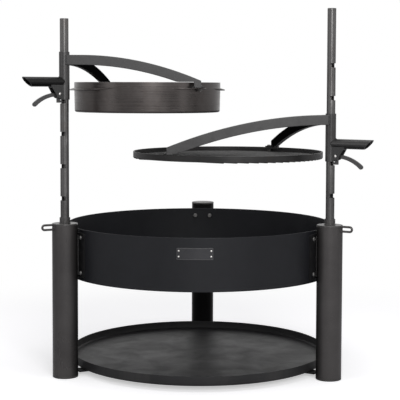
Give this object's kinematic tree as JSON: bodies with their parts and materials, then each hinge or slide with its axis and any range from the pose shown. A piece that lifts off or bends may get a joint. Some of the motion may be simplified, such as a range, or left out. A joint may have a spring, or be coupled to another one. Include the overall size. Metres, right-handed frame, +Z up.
{
  "type": "fire bowl with grill grate",
  "caption": "Round steel fire bowl on three tube legs, with a log tray below and two posts that carry a frying pan and a grill grate on swinging, sliding arms.",
  "frame": {"origin": "on the ground, in the middle of the object's footprint in the pose of the picture", "axes": "+Z up, -Y towards the bare plate on the bowl's front, +X to the right seen from there, so the pan's post is at -X and the grate's post at +X"},
  "size_m": [0.9866, 0.8794, 1.066],
  "materials": {
    "bowl_paint": "satin black heat-proof paint",
    "bowl_inside_paint": "matt black heat-proof paint",
    "plate_paint": "satin black, bare",
    "tray_paint": "satin black paint",
    "leg_paint": "satin black paint",
    "foot_paint": "satin black paint",
    "bracket_paint": "satin black paint",
    "bolt_steel": "bright zinc",
    "spring_steel": "bright wire",
    "post_steel": "dark oiled steel, satin",
    "sleeve_steel": "dark oiled steel, satin",
    "arm_steel": "dark oiled steel, satin",
    "handle_paint": "satin black paint",
    "pan_steel": "dark raw steel with a warm tint, satin",
    "grate_steel": "blackened steel"
  },
  "bodies": {
    "stand": {"leg_tube_front_left": "leg_paint", "leg_cap_front_left": "leg_paint", "foot_front_left": "foot_paint", "bowl_bracket_front_left": "bracket_paint", "tray_tab_front_left": "bracket_paint", "bowl_bolt_front_left_upper_a": "bolt_steel", "bowl_bolt_front_left_upper_b": "bolt_steel", "bowl_bolt_front_left_lower_a": "bolt_steel", "bowl_bolt_front_left_lower_b": "bolt_steel", "leg_tube_front_right": "leg_paint", "leg_cap_front_right": "leg_paint", "foot_front_right": "foot_paint", "bowl_bracket_front_right": "bracket_paint", "tray_tab_front_right": "bracket_paint", "bowl_bolt_front_right_upper_a": "bolt_steel", "bowl_bolt_front_right_upper_b": "bolt_steel", "bowl_bolt_front_right_lower_a": "bolt_steel", "bowl_bolt_front_right_lower_b": "bolt_steel", "leg_tube_back": "leg_paint", "leg_cap_back": "leg_paint", "foot_back": "foot_paint", "bowl_bracket_back": "bracket_paint", "tray_tab_back": "bracket_paint", "bowl_bolt_back_upper_a": "bolt_steel", "bowl_bolt_back_upper_b": "bolt_steel", "bowl_bolt_back_lower_a": "bolt_steel", "bowl_bolt_back_lower_b": "bolt_steel", "bowl_wall": "bowl_paint", "bowl_floor": "bowl_inside_paint", "front_plate": "plate_paint", "log_tray": "tray_paint", "post_socket_left": "post_steel", "post_socket_right": "post_steel", "tool_eye_left": "leg_paint", "tool_eye_right": "leg_paint"},
    "left_post": {"left_post": "post_steel"},
    "left_carriage": {"left_sleeve": "sleeve_steel", "left_arm_near": "arm_steel", "left_arm_far": "arm_steel", "left_foot_bolt_near": "bolt_steel", "left_foot_bolt_far": "bolt_steel", "left_handle": "handle_paint", "left_latch_bracket": "handle_paint", "left_latch_pin": "bolt_steel", "left_latch_spring": "spring_steel", "pan": "pan_steel"},
    "left_latch": {"left_latch_lever": "handle_paint"},
    "right_post": {"right_post": "post_steel"},
    "right_carriage": {"right_sleeve": "sleeve_steel", "right_arm_near": "arm_steel", "right_arm_far": "arm_steel", "right_foot_bolt_near": "bolt_steel", "right_foot_bolt_far": "bolt_steel", "right_handle": "handle_paint", "right_latch_bracket": "handle_paint", "right_latch_pin": "bolt_steel", "right_latch_spring": "spring_steel", "grate": "grate_steel"},
    "right_latch": {"right_latch_lever": "handle_paint"}
  },
  "joints": [
    {"name": "left_swing", "type": "hinge", "parent": "stand", "child": "left_post", "pos_m": [-0.38503, -0.2582, 0.465], "axis": [0, 0, 1], "continuous": true},
    {"name": "left_lift", "type": "slide", "parent": "left_post", "child": "left_carriage", "axis": [0, 0, 1], "range_m": [0, 0.093]},
    {"name": "left_latch_pivot", "type": "hinge", "parent": "left_carriage", "child": "left_latch", "pos_m": [-0.40162, -0.27182, 0.82], "axis": [-0.6347, 0.7727, 0], "range_deg": [0, 14], "stiffness_Nm_per_rad": 0.8, "springref_deg": -28.65},
    {"name": "right_swing", "type": "hinge", "parent": "stand", "child": "right_post", "pos_m": [0.37811, -0.2582, 0.465], "axis": [0, 0, 1], "continuous": true},
    {"name": "right_lift", "type": "slide", "parent": "right_post", "child": "right_carriage", "axis": [0, 0, 1], "range_m": [-0.093, 0]},
    {"name": "right_latch_pivot", "type": "hinge", "parent": "right_carriage", "child": "right_latch", "pos_m": [0.39591, -0.27019, 0.646], "axis": [-0.5585, -0.8295, 0], "range_deg": [0, 14], "stiffness_Nm_per_rad": 0.8, "springref_deg": -28.65}
  ]
}
